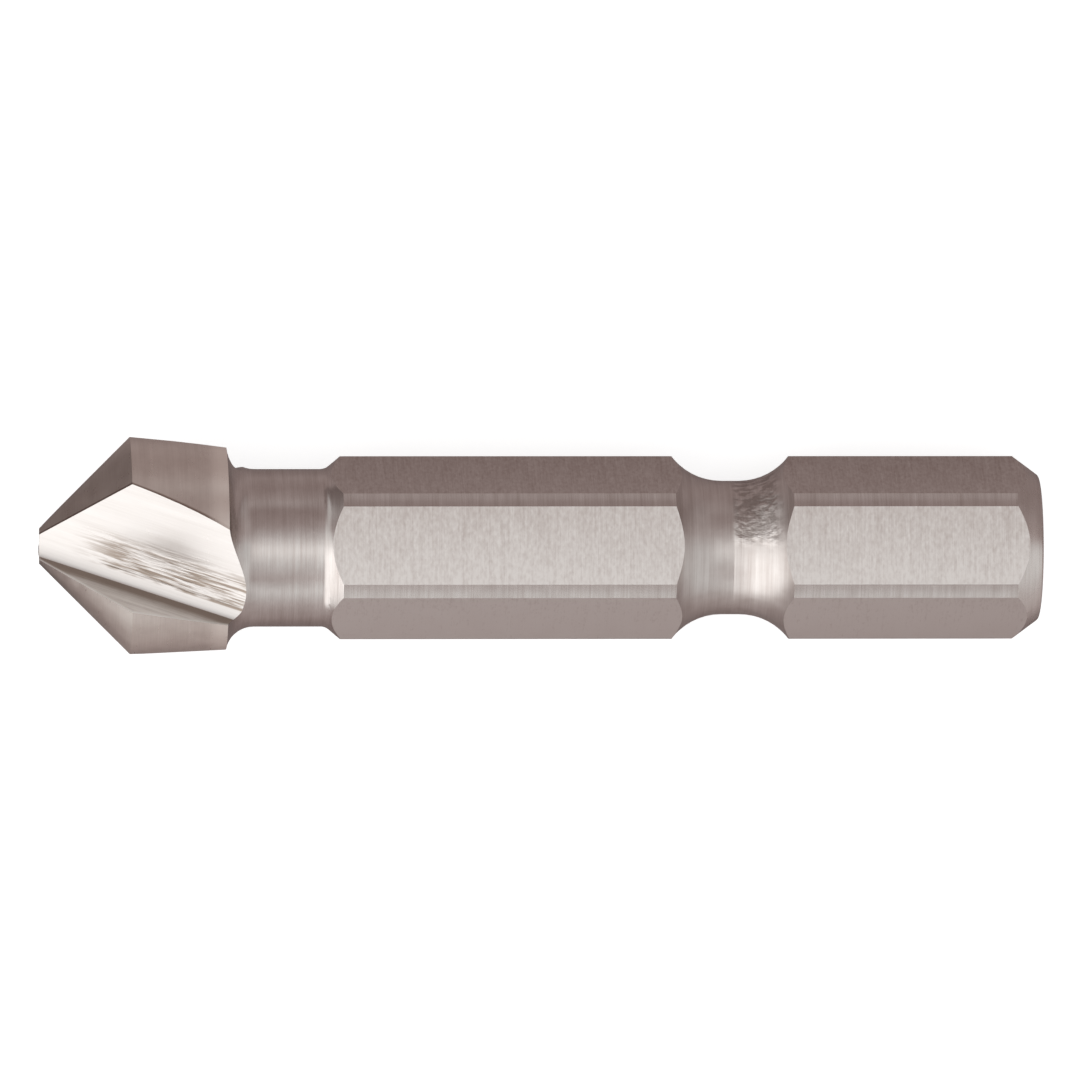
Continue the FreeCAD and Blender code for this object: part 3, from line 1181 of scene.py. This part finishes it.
@dataclass
class Studio:
    """A white table with soft lamps, a warm lining that the steel mirrors, and the camera.

    The lean is how far the camera is off square towards +X and +Y, and the roll its turn about its own
    axis, in degrees. The centre and the width of the view are in millimetres, other lengths in metres.
    """

    panels: Sequence[Panel] = (
        Panel("roof", towards=(0.03, -0.06, 1.0), size=(0.7, 0.2), glow=1.05),
        Panel("low_left", towards=(-0.62, -0.74, 0.26), size=(0.5, 0.22), glow=1.8),
    )
    lining: Lining = field(default_factory=Lining)
    lamp_aim: float = 3.5
    table_reach: float = 6.0
    table_colour: Colour = (0.8, 0.8, 0.8)
    table_glow: float = 0.62
    world_light: float = 0.5
    lean: Span = (1.8, 1.4)
    roll: float = -0.12
    view_width: float = 41.89
    distance: float = 0.7
    centre: tuple[float, float, float] = (0.217, 0.0, 3.71)
    sensor: float = 36.0
    clip: Span = (0.01, 20.0)

    def build(self) -> None:
        """Make the table, the lining, the lamps, the world and the camera."""
        for panel in self.panels:
            panel.build(aim=Vector((0.0, 0.0, self.lamp_aim * MM)))
        self.table()
        self.lining.build()
        self.world()
        self.camera()

    @staticmethod
    def seen(g: Graph) -> Port:
        """1 for rays from the camera and for what metal and glass show."""
        path = g.make("ShaderNodeLightPath", {}, {})
        camera, glossy, through = (
            Port(g, path.outputs[f"Is {name} Ray"]) for name in ("Camera", "Glossy", "Transmission")
        )
        return camera.at_least(glossy).at_least(through)

    def table(self) -> None:
        """A white table that keeps the bit's shadow."""
        mesh = bpy.data.meshes.new("table")
        far = self.table_reach
        mesh.from_pydata([(-far, -far, 0), (far, -far, 0), (far, far, 0), (-far, far, 0)], [], [(0, 1, 2, 3)])
        table = bpy.data.objects.new("table", mesh)
        bpy.context.scene.collection.objects.link(table)
        material = bpy.data.materials.new("table_white")
        material.use_nodes = True
        g = Graph(material.node_tree)
        lit = g.node("ShaderNodeBsdfDiffuse", {}, {"Color": (*self.table_colour, 1.0)})
        glow = g.node("ShaderNodeEmission", {}, {"Color": WHITE, "Strength": self.seen(g) * self.table_glow})
        g.surface(g.node("ShaderNodeAddShader", {}, {0: lit, 1: glow}))
        mesh.materials.append(material)

    def world(self) -> None:
        """A world that is seen as plain white and lights less."""
        world = bpy.data.worlds.new("studio")
        bpy.context.scene.world = world
        world.use_nodes = True
        g = Graph(world.node_tree)
        strength = self.seen(g) * (1.0 - self.world_light) + self.world_light
        g.surface(g.node("ShaderNodeBackground", {}, {"Color": WHITE, "Strength": strength}))

    def camera(self) -> None:
        """The camera, nearly straight above, with the point to the left."""
        data = bpy.data.cameras.new("camera")
        data.sensor_width = self.sensor
        data.lens = self.sensor * self.distance / (self.view_width * MM)
        data.clip_start, data.clip_end = self.clip
        camera = bpy.data.objects.new("camera", data)
        bpy.context.scene.collection.objects.link(camera)
        ahead = Vector((*(math.tan(math.radians(a)) for a in self.lean), -1.0)).normalized()
        right = ahead.cross(Vector((0.0, 1.0, 0.0))).normalized()
        turn = Matrix((right, right.cross(ahead), -ahead)).transposed()
        turn = turn.to_4x4() @ Matrix.Rotation(math.radians(self.roll), 4, "Z")
        camera.matrix_world = Matrix.Translation(Vector(self.centre) * MM - ahead * self.distance) @ turn
        bpy.context.scene.camera = camera


def main() -> None:
    """Build the bit and the studio."""
    logging.basicConfig(level=logging.INFO, format="%(name)s: %(message)s")
    for item in [o for o in bpy.data.objects if o.name in ("Cube", "Light", "Camera")]:
        bpy.data.objects.remove(item)
    bpy.context.scene.view_settings.view_transform = "Standard"
    CountersinkBit().build()
    Studio().build()


if __name__ == "__main__":
    main()
